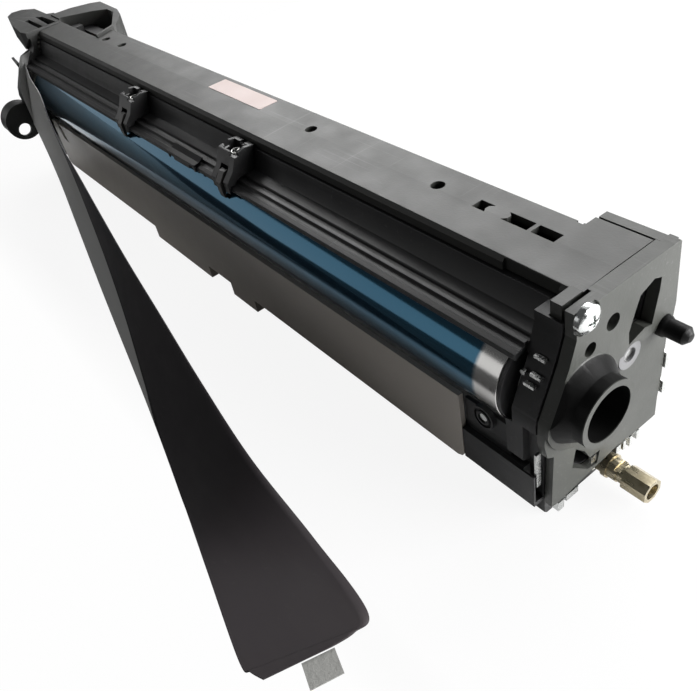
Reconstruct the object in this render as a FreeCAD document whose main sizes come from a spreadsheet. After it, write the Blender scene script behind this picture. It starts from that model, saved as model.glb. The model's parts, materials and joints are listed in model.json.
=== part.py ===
import FreeCAD, Part
import Sketcher
import math
import os
import re

V = FreeCAD.Vector
doc = FreeCAD.newDocument("DrumUnit")

# Sizes in mm. The origin is on the drum axis at the mouth of the collar,
# +X out of the collar, +Z up, +Y to the rear.
sizes = {
    "drumRadius": 15, "drumWall": 1, "drumLength": 348, "drumEnd": -24,
    "collarLength": 8, "collarRadius": 10, "collarBore": 8.2, "collarRoot": 13.2,
    "capFace": -9, "capPlate": 2.5, "capStep": 1, "pegRadius": 2.7, "pegY": 32.5, "pegZ": 3.7,
    "frameRight": -12, "bulkheadRight": 10.5, "bulkheadLeft": 10.5, "coverEnd": -13, "coverSkin": 2.1,
    "baseEnd": -14.3, "hubRadius": 6, "hubLeft": 4, "bushRight": 9, "bushLeft": 7,
    "runFit": 0.05, "airGap": 0.3, "drumTeeth": 38, "augerTeeth": 18, "gearWidth": 5.6,
    "augerCore": 1.8, "augerTip": 4, "augerPitch": 20, "augerBush": 3, "flightThick": 1,
    "chargeRadius": 4.2, "chargeShaft": 2.2, "chargeZ": 1.35, "wiperRadius": 3, "wiperShaft": 1.5,
    "conveyorBore": 5, "conveyorTip": 4.6, "conveyorCore": 2, "couplingRadius": 4,
    "screwY": 0.2, "screwHead": 4, "screwShank": 1.5, "earRadius": 10.3, "earHole": 3.6, "sheetThick": 0.8,
    "frameLeft": "=drumEnd-drumLength-12", "leftFace": "=frameLeft-9", "gearStart": "=frameLeft-7.4",
    "floorLow": "=-drumRadius-20", "floorTop": "=floorLow+2", "wallRear": "=drumRadius+17",
    "wallInner": "=wallRear-2", "shoulder": "=drumRadius+9", "stripTop": "=-drumRadius-7.6",
    "frontFace": "=-0.8267*drumRadius", "frontInner": "=frontFace+1.8", "plateFace": "=frontFace-1.9",
    "coverTop": "=drumRadius+14.5", "coverFront": "=0.2133*drumRadius", "coverRear": "=drumRadius+12.5",
    "railWallTop": "=drumRadius+10", "lipFront": "=-0.7267*drumRadius", "leftTop": "=coverTop+0.7",
    "baseLow": "=-drumRadius-32", "baseTop": "=floorLow-0.3", "screwZ": "=drumRadius+11.6",
    "augerY": "=0.5594*drumRadius", "augerZ": "=drumRadius+5.769",
    "gearModule": "=2*sqrt(augerY^2+augerZ^2)/(drumTeeth+augerTeeth)",
    "chargeY": "=sqrt((drumRadius+chargeRadius+airGap)^2-chargeZ^2)",
    "wiperY": "=chargeY+0.5*(chargeRadius+wiperRadius+airGap)",
    "wiperZ": "=chargeZ+0.866*(chargeRadius+wiperRadius+airGap)",
    "conveyorY": "=drumRadius+1", "conveyorZ": "=baseLow+6",
    "earY": "=-drumRadius-8.5", "earZ": "=-0.9267*drumRadius",
}
sheet = doc.addObject("Spreadsheet::Sheet", "Sizes")
for row, (word, number) in enumerate(sizes.items(), start=1):
    sheet.set(f"A{row}", word)
    sheet.set(f"B{row}", str(number))
    sheet.setAlias(f"B{row}", word)
doc.recompute()


def full(text):
    return re.sub(r"[A-Za-z]\w*", lambda m: "Sizes." + m.group(0) if m.group(0) in sizes else m.group(0),
                  str(text))


def value(text):
    return float(sheet.evalExpression(full(text)))


def across(number):
    # A typed Y or Z follows the drum: inside its outline it scales, outside it keeps its distance.
    if isinstance(number, str):
        return number
    if abs(number) <= 15:
        return f"{number:.6g}/15*drumRadius"
    return f"drumRadius+{number - 15:.6g}" if number > 0 else f"-drumRadius-{-15 - number:.6g}"


def along(number):
    # A typed X is fixed at the drive end, spread along the drum and carried by its far end.
    if isinstance(number, str) or number > -24:
        return f"{number}"
    if number < -372:
        return f"drumEnd-drumLength-{-372 - number:.6g}"
    return f"drumEnd-{-24 - number:.6g}/348*drumLength"


def spot(x, y, z):
    return V(value(along(x)), value(across(y)), value(across(z)))


def sketchOn(body, plane, name, offset):
    sketch = body.newObject("Sketcher::SketchObject", name)
    base = [f for f in body.Origin.OriginFeatures if f.Role == plane][0]
    sketch.AttachmentSupport = [(base, "")]
    sketch.MapMode = "FlatFace"
    sketch.setExpression(".AttachmentOffset.Base.z", full(offset))
    return sketch


def outline(sketch, points):
    count = len(points)
    spots = [V(value(p[0]), value(p[1]), 0) for p in points]
    for i in range(count):
        sketch.addGeometry(Part.LineSegment(spots[i], spots[(i + 1) % count]), False)
    for i in range(count):
        sketch.addConstraint(Sketcher.Constraint("Coincident", i, 2, (i + 1) % count, 1))
    for i in range(count):
        for axis, kind in enumerate(("DistanceX", "DistanceY")):
            rule = sketch.addConstraint(Sketcher.Constraint(kind, -1, 1, i, 1, spots[i][axis]))
            word = f"{kind[-1].lower()}{i}"
            sketch.renameConstraint(rule, word)
            sketch.setExpression("Constraints." + word, full(points[i][axis]))


planes = {"x": "YZ_Plane", "y": "XZ_Plane", "z": "XY_Plane"}


def prism(name, points, start, length, axis="x"):
    # A straight prism of a closed outline, from start along the axis.
    body = doc.addObject("PartDesign::Body", name)
    begin = along(start) if axis == "x" else across(start)
    first = across if axis == "x" else along
    offset = f"-(({begin})+({length}))" if axis == "y" else begin
    sketch = sketchOn(body, planes[axis], name + "Outline", offset)
    outline(sketch, [(first(a), across(b)) for a, b in points])
    pad = body.newObject("PartDesign::Pad", name + "Pad")
    pad.Profile = sketch
    pad.setExpression("Length", full(length))
    doc.recompute()
    return body


turns = {"x": FreeCAD.Rotation(V(0, 1, 0), 90), "y": FreeCAD.Rotation(V(1, 0, 0), -90),
         "z": FreeCAD.Rotation()}


def place(part, x, y, z):
    for letter, text in zip("xyz", (along(x), across(y), across(z))):
        part.setExpression("Placement.Base." + letter, full(text))


def rod(name, x, y, z, radius, length, axis="x"):
    part = doc.addObject("Part::Cylinder", name)
    part.Placement = FreeCAD.Placement(V(0, 0, 0), turns[axis])
    place(part, x, y, z)
    part.setExpression("Radius", full(radius))
    part.setExpression("Height", full(length))
    return part


def cone(name, x, y, z, first, second, length):
    part = doc.addObject("Part::Cone", name)
    part.Placement = FreeCAD.Placement(V(0, 0, 0), turns["x"])
    place(part, x, y, z)
    part.setExpression("Radius1", full(first))
    part.setExpression("Radius2", full(second))
    part.setExpression("Height", full(length))
    return part


def block(name, x, y, z, dx, dy, dz):
    part = doc.addObject("Part::Box", name)
    place(part, x, y, z)
    part.setExpression("Length", full(dx))
    part.setExpression("Width", full(dy))
    part.setExpression("Height", full(dz))
    return part


def fuse(name, parts):
    result = doc.addObject("Part::MultiFuse", name)
    result.Shapes = parts
    return result


def cut(name, base, tools):
    result = doc.addObject("Part::Cut", name)
    result.Base = base
    result.Tool = tools[0] if len(tools) == 1 else fuse(name + "Tools", tools)
    return result


def common(name, base, tool):
    result = doc.addObject("Part::Common", name)
    result.Base = base
    result.Tool = tool
    return result


def gather(name, parts):
    result = doc.addObject("Part::Compound", name)
    result.Links = parts
    return result


nodes = []


def node(part, name):
    part.Label = name
    nodes.append(part)
    return part


def solidOf(name, triangles):
    # A closed solid from corner triples, kept as one plain feature.
    faces = [Part.Face(Part.makePolygon([a, b, c, a])) for a, b, c in triangles]
    solid = Part.makeSolid(Part.makeShell(faces))
    if solid.Volume < 0:
        solid.reverse()
    part = doc.addObject("Part::Feature", name)
    part.Shape = solid
    return part


def tubeFacets(rings):
    # Triangles of a closed strip through rings of equal corner counts.
    triangles = []
    count = len(rings[0])
    for near, far in zip(rings, rings[1:]):
        for k in range(count):
            n = (k + 1) % count
            triangles.append((near[k], near[n], far[n]))
            triangles.append((near[k], far[n], far[k]))
    for ring in (rings[0], rings[-1]):
        triangles.extend((ring[0], ring[k], ring[k + 1]) for k in range(1, count - 1))
    return triangles


def stripFacets(rings):
    # The same for rings of six corners with a fold, whose ends are two quads.
    triangles = tubeFacets(rings)[:-8]
    for a, b, c, d, e, f in (rings[0], rings[-1]):
        triangles += [(a, b, e), (a, e, f), (b, c, d), (b, d, e)]
    return triangles


def flight(name, x, length, y, z, core, tip, pitch, steps=12):
    # A screw flight rooted inside its shaft.
    cy, cz, inner, outer = value(y), value(z), value(core) * 0.6, value(tip)
    thick = value("flightThick")
    rings = []
    for i in range(round(value(length) / pitch * steps) + 1):
        turn = 2 * math.pi * i / steps
        near = value(x) + pitch * i / steps
        corners = ((near, inner), (near, outer), (near + thick, outer), (near + thick, inner))
        rings.append([V(s, cy + r * math.cos(turn), cz + r * math.sin(turn)) for s, r in corners])
    return solidOf(name, tubeFacets(rings))


def coil(name, centre, axis, radius, wire, height, count, steps=10):
    # A small coil spring of square wire.
    up, side = (V(0, 1, 0), V(0, 0, 1)) if axis == "y" else (V(0, 0, 1), V(0, 1, 0))
    rings = []
    for i in range(count * steps + 1):
        turn = 2 * math.pi * i / steps
        out = V(1, 0, 0) * math.cos(turn) + side * math.sin(turn)
        middle = centre + out * radius + up * (height * i / (count * steps))
        rings.append([middle - out * wire - up * wire, middle + out * wire - up * wire,
                      middle + out * wire + up * wire, middle - out * wire + up * wire])
    return solidOf(name, tubeFacets(rings))


def gear(name, x, width, y, z, teeth, bore, phase):
    # An involute spur gear with a little backlash; phase turns it so that a tooth meets a gap.
    module = value("gearModule")
    pitch = module * teeth / 2
    base = pitch * math.cos(math.radians(20))
    root = pitch - 1.2 * module
    tip = pitch + 0.95 * module
    lean = math.tan(math.radians(20)) - math.radians(20)
    half = math.pi / (2 * teeth) - 0.07 / pitch

    def flankAngle(radius):
        if radius <= base:
            return half + lean
        wrap = math.acos(base / radius)
        return half + lean - (math.tan(wrap) - wrap)

    radii = [max(root, base) + (tip - max(root, base)) * k / 3 for k in range(4)]
    spots = []
    for i in range(teeth):
        middle = phase + 2 * math.pi * i / teeth
        side = [(root, -half - lean)] + [(r, -flankAngle(r)) for r in radii]
        side += [(r, -a) for r, a in reversed(side)]
        for r, a in side:
            spots.append(V(0, r * math.cos(middle + a), r * math.sin(middle + a)))
    face = Part.Face(Part.makePolygon(spots + [spots[0]]))
    solid = face.extrude(V(width, 0, 0))
    solid = solid.cut(Part.makeCylinder(bore, width, V(0, 0, 0), V(1, 0, 0)))
    part = doc.addObject("Part::Feature", name)
    part.Shape = solid
    part.Placement = FreeCAD.Placement(V(value(x), value(y), value(z)), FreeCAD.Rotation())
    return part


spanLength = "frameRight-bulkheadRight-frameLeft-bulkheadLeft"
spanStart = "frameLeft+bulkheadLeft"
spanEnd = "frameRight-bulkheadRight"

# Main frame
channel = prism("channel", [
    ("frontFace", "floorLow"), ("wallRear", "floorLow"), ("wallRear", "shoulder"), (25.6, "shoulder"),
    (25.6, 22), ("wallInner", 22), ("wallInner", "floorTop"), ("frontInner", "floorTop"),
    ("frontInner", "stripTop"), ("frontFace", "stripTop")], "frameLeft", "frameRight-frameLeft")
headPoints = [
    ("frontInner", "floorTop-0.5"), ("frontInner", -21), (-13.3, -19.5), (-13.3, -1.2), (-9.6, 6.7),
    (-6.2, 14), (-3.6, 21.5), (-3.6, "railWallTop"), (5.2, "railWallTop"), (5.2, 26.8), (25.4, 26.8),
    (25.4, "shoulder"), ("wallRear", "shoulder"), ("wallRear", "floorTop-0.5")]
headRight = prism("headRight", headPoints, spanEnd, "bulkheadRight")
lowPoints = [
    ("frontInner", "floorTop-0.5"), ("frontInner", -21), (-9.6, -19.5), (-9.6, -1.2), (-9, 6.7),
    (-8, 11.5), (-5.9, 14.2), (-3, 15.1), (0.6, 15.4), (2.4, 16.9), (4.4, "railWallTop-0.9"),
    (5.2, "railWallTop-0.9")]
headLeft = prism("headLeft", lowPoints + headPoints[9:], "frameLeft", "bulkheadLeft")
frameParts = [channel, headRight, headLeft]
frameParts.append(block("frontStrip", -39.3, "plateFace", "floorLow", "frameRight+39.3",
                        "frontFace-plateFace+0.1", "stripTop-floorLow"))
frameParts.append(block("recessWall", -39.3, -12.2, "stripTop-0.5", spanEnd + "+39.8", 1.2, 11.9))
frameParts.append(rod("ringBoss", -31, -13.7, -13, 4, "0.1134*drumRadius", "y"))
for side, start in (("Left", spanStart), ("Right", spanEnd + "-8")):
    frameParts.append(block("bladePost" + side, start, 20, 13, 8, "wallInner-19.5", 6.2))
    frameParts.append(block("trayRib" + side, start, "frontInner-0.5", "floorTop-0.5", 8, 41, 8))
for i in range(8):
    frameParts.append(block(f"rearRib{i}", -356 + i * 44.5, "wallRear-0.2", "floorLow", 1.4, 1.2, 51))
frameCuts = [
    rod("drumBoreRight", spanEnd + "-1", 0, 0, "bushRight", "bulkheadRight+2"),
    rod("drumBoreLeft", "frameLeft-1", 0, 0, "bushLeft", "bulkheadLeft+2"),
    rod("drumPocket", spanEnd + "-0.1", 0, 0, "drumRadius-0.1", 2.5),
    block("railEndRoom", spanEnd + "-0.1", -12, 12.2, 1.9, 17, 12.9),
    block("screwCorner", -16.8, -3, 21.7, 5.5, 8.2, 9),
    block("endSlot", -16.5, -13.7, -33.4, 5, 3, 27.4),
    block("laserSlot", -360, 29, -14, "320/348*drumLength", 4, 6),
    block("lugRoom", "frameLeft-0.1", 17.5, "shoulder", 4.1, 8.2, 3.5),
    cut("ringGroove", rod("grooveOuter", -31, -14, -13, 3.3, 1.2, "y"),
        [rod("grooveInner", -31, -14.5, -13, 2.4, 2.4, "y")]),
    rod("pinHole", -31, -14, -13, 1.35, 4, "y"),
    rod("pinMouth", -31, -14, -13, 1.75, 1.5, "y"),
]
slotD = [(29, 21.8), (28.8, 17.8), (26.9, 7.6), (23.9, 8.4), (17.6, 6.6), (17.1, 11), (19.2, 17.2),
         (20.7, 21), (26, 23)]
slotLow = [(-2.2, -26.1), (-1, -19.2), (3, -23.5), (5.3, -28), (9.6, -28.4), (8.6, -33.2), (4.6, -32.4)]
frameCuts += [prism("slotDeep", slotD, -16, 4.2), prism("openingDeep", slotLow, -16, 4.2)]
keyPoints = [(-5.31, 1.77), (-1.77, 5.31), (-7.3, 10.84), (-10.84, 7.3)]
keyRoom = [(-5.38, 1.7), (-1.7, 5.38), (-8.6, 12.28), (-12.28, 8.6)]
frameCuts.append(prism("keySlot", keyRoom, "frameLeft-0.1", 10.7))
for side, start in (("Left", "frameLeft"), ("Right", spanEnd)):
    frameCuts.append(rod("augerBore" + side, start + "-1", "augerY", "augerZ", "augerBush", 12.5))
    frameCuts.append(block("bearingSlot" + side, start + "-1", "chargeY-4.3", "chargeZ-4", 12.5, 13, 8))
for side, start in (("Left", spanStart + "-5"), ("Right", spanEnd + "-1")):
    frameCuts.append(rod("wiperHole" + side, start, "wiperY", "wiperZ", "wiperShaft+runFit", 6))
mainFrame = node(cut("mainFrameCut", fuse("mainFrameParts", frameParts), frameCuts), "main_frame")

# Ribbed rail above the front of the drum
node(prism("pickerRail", [
    (0.2, 17.5), (-3.9, 17), (-4.1, 15.9), (-5.6, 15.9), (-5.7, 16.6), (-7.1, 16.4), (-7.2, 15.2),
    (-8.9, 14.9), (-9, 15.2), (-10.8, 14.8), ("lipFront", 13.2), (-10.2, 12.5), (-8.5, 13.2), (-6, 14.5),
    (-3, 15.4), (0.4, 15.7), (2, 17), (4, "railWallTop-0.6"), (4.9, "railWallTop-0.6"),
    (4.9, "railWallTop"), (2.3, "railWallTop")], "frameLeft+0.1", "frameRight-bulkheadRight+1.6-frameLeft"),
    "picker_rail")

# Top cover
coverSkin = prism("coverSkin", [
    ("coverFront", "railWallTop+0.2"), ("coverFront", 27.8), (4.4, 29), (16.7, "coverTop"),
    ("coverRear", "coverTop"), ("coverRear", "shoulder+0.2"), (25.6, "shoulder+0.2"),
    (25.6, "coverTop-coverSkin"), (5, "coverTop-coverSkin-0.4"), (5, "railWallTop+0.2")],
    "frameLeft", "coverEnd-frameLeft")
coverWide = prism("coverWide", [
    (26, "coverTop-coverSkin"), (26, "coverTop"), ("wallRear-0.6", "coverTop"),
    ("wallRear", "coverTop-0.6"), ("wallRear", "shoulder+0.2"), ("wallInner", "shoulder+0.2"),
    ("wallInner", "coverTop-coverSkin")], -30.5, "coverEnd+30.5")
coverCorner = block("coverCorner", -16.5, -2.7, 22, "coverEnd+16.5", 7.5, "coverTop-drumRadius-7")
strip = prism("missingStrip", [(-385, 17.6), (-331.6, 17.6), (-336.8, 29), (-385, 29)], 23, 8, "z")
slots = []
for i, points in enumerate((
        [(-61, 16), (-56.2, 16), (-57, 17.2), (-57, 18.8), (-55.5, 20), (-61, 20)],
        [(-50, 16), (-40.7, 16), (-40.7, 20), (-50, 20), (-48.7, 18.8), (-48.7, 17.2)],
        [(-39.4, 16), (-31.5, 16), (-31.5, 20), (-39.4, 20)])):
    slots.append(prism(f"coverSlot{i}", points, 26, 5, "z"))
for i, (x, y) in enumerate(((-143.3, 18.6), (-77.4, 18.3), (-325, 19.2), (-307, 19.8))):
    slots.append(rod(f"coverHole{i}", x, y, 26, 2.25, 5, "z"))
slots.append(block("frontNotch", -37.3, 3, 25, 18.3, 1.2, 5))
slots.append(block("rearNotch", -33, 26.8, 26, 2, 1, 5))
slots.append(rod("coverScrewHole", -17, "screwY", "screwZ", "screwShank", 5))
coverCut = cut("coverCut", fuse("coverParts", [coverSkin, coverWide, coverCorner]), [strip] + slots)
node(coverCut, "top_cover")
labelSlab = prism("labelSlab", [(-214.6, 17), (-175.6, 17), (-175.2, 17.4), (-175.2, 25.2), (-175.6, 25.6),
                                (-214.6, 25.6), (-215, 25.2), (-215, 17.4)], "coverTop", 0.15, "z")
node(labelSlab, "cover_label")

# Brownish plate under the drum, with the flange below the floor and two tabs
plateFlat = prism("plateFlat", [
    (-359, "floorLow-1.8"), (-42.6, "floorLow-1.8"), (-40.5, "floorLow-0.9"), (-39.6, "floorLow+1.2"),
    (-39.6, -9.6), (-362, -9.6), (-362, "floorLow+1.2"), (-361.1, "floorLow-0.9")],
    "plateFace", "frontFace-plateFace-0.1", "y")
plateFlange = block("plateFlange", -359, "plateFace+0.4", "floorLow-1.8", "316/348*drumLength", 6, 1.6)
plateTabs = [block("plateTabWide", -252, "plateFace", -43, 53, 3.3, 8),
             block("plateTabSmall", -180, "plateFace", -43, 19, 3.3, 8)]
plateNotch = prism("plateNotch", [(-354.5, -9), (-351, -9), (-346.5, -19.4), (-352, -18)],
                   "plateFace-0.5", 3, "y")
node(cut("frontPlateCut", fuse("frontPlateAll", [plateFlat, plateFlange] + plateTabs), [plateNotch]),
     "front_plate")

# Lower rail with its round channel and hollow cells
railBlock = prism("railBlock", [
    (-7.5, "baseLow+1"), (-6.5, "baseLow"), (27, "baseLow"), (28, "baseLow+1"), (28, "baseTop"),
    (-7.5, "baseTop")], "frameLeft", "baseEnd-frameLeft")
railCuts = [rod("conveyorChannel", "frameLeft-1", "conveyorY", "conveyorZ", "conveyorBore",
                "baseEnd-frameLeft+2"),
            block("frontCell", "frameLeft-1", -5.5, "baseLow+2", "baseEnd-frameLeft+2", "conveyorY-1.5", 7.7),
            block("rearCell", "frameLeft-1", 22.8, "baseLow+2", "baseEnd-frameLeft+2", 3.4, 7.7)]
node(cut("lowerRailCut", railBlock, railCuts), "lower_rail")

# Right end cap
capFront = [(-5.8, 14), (-9.2, 6.7), (-13, -1.2), (-13.4, -8), (-12.2, -13.5), (-9.8, -15)]
capPlate = prism("capPlate", [
    (-10.6, -35.6), (-8, -36.2), (-1, -35.4), (8.8, -34.3), (16.7, -33.4), (27, -34), (34.4, -34),
    (36, -20), (36.2, 0), (37, 9), (36, "coverTop"), (-3.5, "coverTop"), (-3.2, 21.8)] + capFront,
    "capFace-capPlate", "capPlate")
lip = []
for i in range(9):
    angle = math.radians(205 + 14.5 * i)
    lip.append((13.3 * math.cos(angle), -2.5 + 13.3 * math.sin(angle)))
upperPoints = [
    (36.4, 4), (37, 9), (36, "coverTop-0.6"), (35.4, "coverTop"), (-3.5, "coverTop"), (-3.2, 21.8),
    (-5.8, 14), (-9.2, 6.7), (-13, -1.2), (-13.2, -5)] + lip + [(14, 4)]
capUpper = prism("capUpper", upperPoints, "capFace-0.1", "capStep+0.1")
capParts = [capPlate, capUpper,
            common("collarFlare", cone("collarCone", "-collarLength-0.05", 0, 0, "collarRoot",
                                       "collarRadius-0.4", 5), prism("flareRoom", upperPoints, -8.5, 8)),
            rod("collarTube", "capFace", 0, 0, "collarRadius", "-capFace"),
            rod("capPegRoot", "capFace-1", "pegY", "pegZ", 3.2, 3),
            cone("capPegStep", "capFace+2", "pegY", "pegZ", 3.2, "pegRadius", 0.8),
            rod("capPeg", "capFace+2.8", "pegY", "pegZ", "pegRadius", 5),
            cone("capPegTip", "capFace+7.8", "pegY", "pegZ", "pegRadius", 1.3, 1.4),
            block("capSkirtRear", -30, "wallRear+0.1", -33.9, 21, 3.2, "coverTop+drumRadius+18.9"),
            block("capSkirtTop", "capFace-capPlate-1.2", "wallRear-26", "coverTop-1.4", 2, 26, 1.4)]
capCuts = [rod("collarHole", "capFace", 0, 0, "collarBore", 20),
           rod("hubHole", "capFace-capPlate-1", 0, 0, "hubRadius+0.6", 5),
           rod("screwSeat", "capFace+0.1", "screwY", "screwZ", "screwHead+0.7", 4),
           rod("screwHole", -14, "screwY", "screwZ", "screwShank+0.1", 8),
           rod("capHoleRound", -14, 10.3, 19.1, 2.5, 8),
           rod("capHoleSmall", -14, 2, 15.6, 2.1, 8),
           rod("ringSeat", -14, "chargeY", "chargeZ", 4.6, 8),
           prism("capSlotD", slotD, -14, 8),
           prism("capOpening", slotLow, -14, 8)]
capAll = cut("rightCapCut", fuse("rightCapParts", capParts), capCuts)
node(capAll, "right_end_cap")
ring = cut("chargeRingCut", rod("ringOuter", -11.3, "chargeY", "chargeZ", 4.5, 2.6),
           [rod("ringInner", -12, "chargeY", "chargeZ", "chargeShaft+runFit", 4)])
node(ring, "charge_ring")

# Corner screw with a domed head
dome = common("screwDome", rod("screwDisc", "capFace+0.2", "screwY", "screwZ", "screwHead", 4),
              doc.addObject("Part::Sphere", "screwBall"))
ball = doc.getObject("screwBall")
ball.Radius = 6.2
place(ball, "capFace-2.9", "screwY", "screwZ")
screwBody = fuse("screwBody", [dome, rod("screwStem", -16.8, "screwY", "screwZ", "screwShank", 9)])
cross = [block("screwCrossA", "capFace+1.6", "screwY-1.9", "screwZ-0.4", 3, 3.8, 0.8),
         block("screwCrossB", "capFace+1.6", "screwY-0.4", "screwZ-1.9", 3, 0.8, 3.8)]
node(cut("cornerScrewCut", screwBody, cross), "corner_screw")

# Bright contact strips along the lower edge of the right end
clips = []
for i, (y, z, dy, dz) in enumerate((
        (-4.6, -38.4, 5, 2.4), (-8, -40, 2.4, 3.6), (17.2, -36.4, 2, 2.7), (20.4, -37.4, 1.1, 3.6),
        (23.4, -38.4, 1.1, 4.2), (26.6, -37.6, 1.1, 3.4))):
    clips.append(block(f"clip{i}", "capFace-2.2", y, z, 2.4, dy, dz))
for i, (z, dz) in enumerate(((-15, 5.6), (-25, 4.6))):
    clips.append(block(f"clipRear{i}", "capFace-1", 36.4, z, 1.6, 1.4, dz))
clips.append(block("clipOpening", "capFace-1", 6.2, -32, 0.8, 2.2, 2.8))
clips.append(block("clipBar", -12.6, -13.4, -27, 0.8, 1.7, 13))
for i, (x, y, z) in enumerate(((-17.4, -7.6, 13.9), (-17, -9.7, 9.4), (-18, -11, 6.7))):
    clips.append(block(f"clipBit{i}", x, y, z, 3.4, 1.2, 0.9))
clips.append(rod("clipDot", -19.2, -9.9, 9.4, 0.8, 1, "y"))
node(gather("terminalClips", clips), "terminal_clips")

# Left end cap: gear cover, ear, pull tab and rear lug
leftShell = prism("leftShell", [
    (-2.2, "coverTop"), (-2.2, 22.4), (-3.7, 19.8), (-8.9, 18.1), (-11.8, 14.3), (-14.3, 9.4),
    (-16.3, 5.9), (-17.8, 3), (-18.8, -1.1), (-18.6, -4.2), (-17.4, -20), (-16.9, -29.8), (-10.6, -34),
    (33, -34), (33, 24), (27.5, "coverTop")], "leftFace", "frameLeft-leftFace")
tabPlan = prism("tabPlan", [
    (-431.3, 2.1), (-436.9, 6.5), (-435.6, 12.4), (-427.4, 17.8), (-407.6, 18), (-404.3, 21.2), (-390, 21.2),
    (-384.2, 18.4), (-384.2, -3.4), (-389.9, -4.6), (-411.4, -2.2)], 17, 15, "z")
tabSide = prism("tabSide", [
    (-384.2, "leftTop"), (-384.2, 27), (-392.8, 20), (-396, 20), (-430, 27.4), (-438, 28.4),
    (-438, "leftTop")], -6, 29, "y")
lugPlan = [(-399, 17.7), (-398.3, 29.5), (-393.5, 40.2), (-389.1, 44.7), (-373.1, 43.9), (-362.7, 43.5),
           (-351.8, 40.3), (-343, 35), (-337, 30.6), (-336.9, 29.2), (-331.9, 17.7)]
lugTop = prism("lugTop", lugPlan, "shoulder+0.2", 6.8, "z")
lugRear = common("lugRear", prism("lugDeep", lugPlan, 19, 12, "z"),
                 block("lugRearRoom", -400, "wallRear+1.5", 18, 55, 16, 14))
lugPocket = prism("lugPocket", [
    (-386, 17.5), (-386, 19.5), (-376.5, 34.1), (-369.6, 40.4), (-360, 39.8), (-339.5, 29.6), (-338.6, 28.4),
    (-333.8, 17.5)], 20.4, 12, "z")
earPlate = cut("earPlateCut", rod("earPlate", -390, "earY", "earZ", "earRadius", 3),
               [rod("earFace", -387.8, "earY", "earZ", "earRadius-1.5", 2)])
earHood = cut("earHoodCut", rod("earHood", -397, "earY", "earZ", "earRadius", 7.1),
              [rod("earHoodRoom", -398, "earY", "earZ", "earRadius-1.6", 8),
               block("earHoodGap", -398, "earY-12", "earZ-12", 8, 24, 10)])
hook = prism("hook", [(-392.9, 12.4), (-392.9, 14.8), (-400, 17), (-400, 16.3)], -12.5, 1.3, "y")
leftParts = [leftShell, common("pullTab", tabPlan, tabSide), lugTop, lugRear, earPlate, earHood, hook]
leftCuts = [rod("gearRoom", "leftFace+1", 0, 0, "gearModule*(drumTeeth/2+1.3)", 8.1),
            rod("augerRoom", "leftFace+1", "augerY", "augerZ", "gearModule*(augerTeeth/2+1.3)", 8.1),
            lugPocket,
            rod("earBore", -391, "earY-1.3", "earZ-4.6", "earHole", 8),
            block("tabSlotFront", -408.4, 4.8, 20, 23, 2.6, 12),
            prism("tabSlotRear", [(-409.2, 11.6), (-404.8, 14.2), (-385, 15.2), (-385.6, 10.4)], 20, 12,
                  "z")]
lugPin = rod("lugPin", -361, 41, 20.2, 1.9, 10.2, "z")
leftAll = fuse("leftCapAll", [cut("leftCapCut", fuse("leftCapParts", leftParts), leftCuts), lugPin])
node(leftAll, "left_end_cap")

# Drum: tube, flanges, gear and contact strip
drumStart = "drumEnd-drumLength"
tube = cut("drumTubeCut", rod("drumOuter", drumStart, 0, 0, "drumRadius", "drumLength"),
           [rod("drumInner", drumStart + "-1", 0, 0, "drumRadius-drumWall", "drumLength+2")])
node(tube, "drum_tube")
inside = "drumRadius-drumWall-runFit"
socket = prism("socketHole", [
    (r * math.cos(math.radians(15 * k)), r * math.sin(math.radians(15 * k)))
    for k, r in enumerate([3.6, 2.9] * 12)], "capFace-7", 12)
flangeRight = cut("flangeRightCut", fuse("flangeRightParts", [
    rod("flangeRightPlug", "drumEnd-12", 0, 0, inside, 12),
    rod("flangeRightDisc", "drumEnd", 0, 0, 14.6, 1.2),
    rod("flangeRightHub", "drumEnd", 0, 0, "hubRadius", "capFace-drumEnd"),
    rod("flangeRightStep", "drumEnd", 0, 0, 8, 1.5)]), [
    socket, rod("flangeRightHollow", "drumEnd-13", 0, 0, 11, 10)])
node(flangeRight, "drum_flange_right")
flangeLeft = cut("flangeLeftCut", fuse("flangeLeftParts", [
    rod("flangeLeftPlug", drumStart, 0, 0, inside, 12),
    rod("flangeLeftDisc", drumStart + "-1.2", 0, 0, 14.6, 1.2),
    rod("flangeLeftShaft", "gearStart-0.3", 0, 0, "hubLeft", drumStart + "-gearStart+1")]), [
    rod("flangeLeftHollow", drumStart + "+3", 0, 0, 11, 10)])
node(flangeLeft, "drum_flange_left")
line = math.atan2(value("augerZ"), value("augerY"))
node(gear("drumGear", "gearStart", value("gearWidth"), "0", "0", sizes["drumTeeth"], value("hubLeft"), line),
     "drum_gear")
strap = fuse("groundStrap", [
    rod("groundDisc", drumStart + "+13", 0, 0, inside + "-0.2", 0.5),
    block("groundLeaf", drumStart + "+13", -2, "drumRadius-drumWall-1.4", 9, 4, 0.5)])
node(cut("groundCut", strap, [rod("groundHole", drumStart + "+12", 0, 0, 4.5, 3)]), "drum_ground_plate")


def bushing(name, x, y, z, outer, inner, length):
    body = rod(name + "Outer", x, y, z, outer, length)
    return cut(name + "Cut", body, [rod(name + "Inner", x + "-1", y, z, inner + "+runFit", f"{length}+2")])


node(bushing("bushRight", spanEnd + "+0.6", 0, 0, "bushRight", "hubRadius", 9.6), "drum_bushing_right")
bushKey = cut("bushKey", prism("bushKeyBar", keyPoints, "frameLeft+0.4", 9.6),
              [rod("bushKeyRoom", "frameLeft", 0, 0, "bushLeft-0.5", 12)])
node(fuse("bushLeftAll", [bushing("bushLeft", "frameLeft+0.4", 0, 0, "bushLeft", "hubLeft", 9.6), bushKey]),
     "drum_bushing_left")

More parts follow.
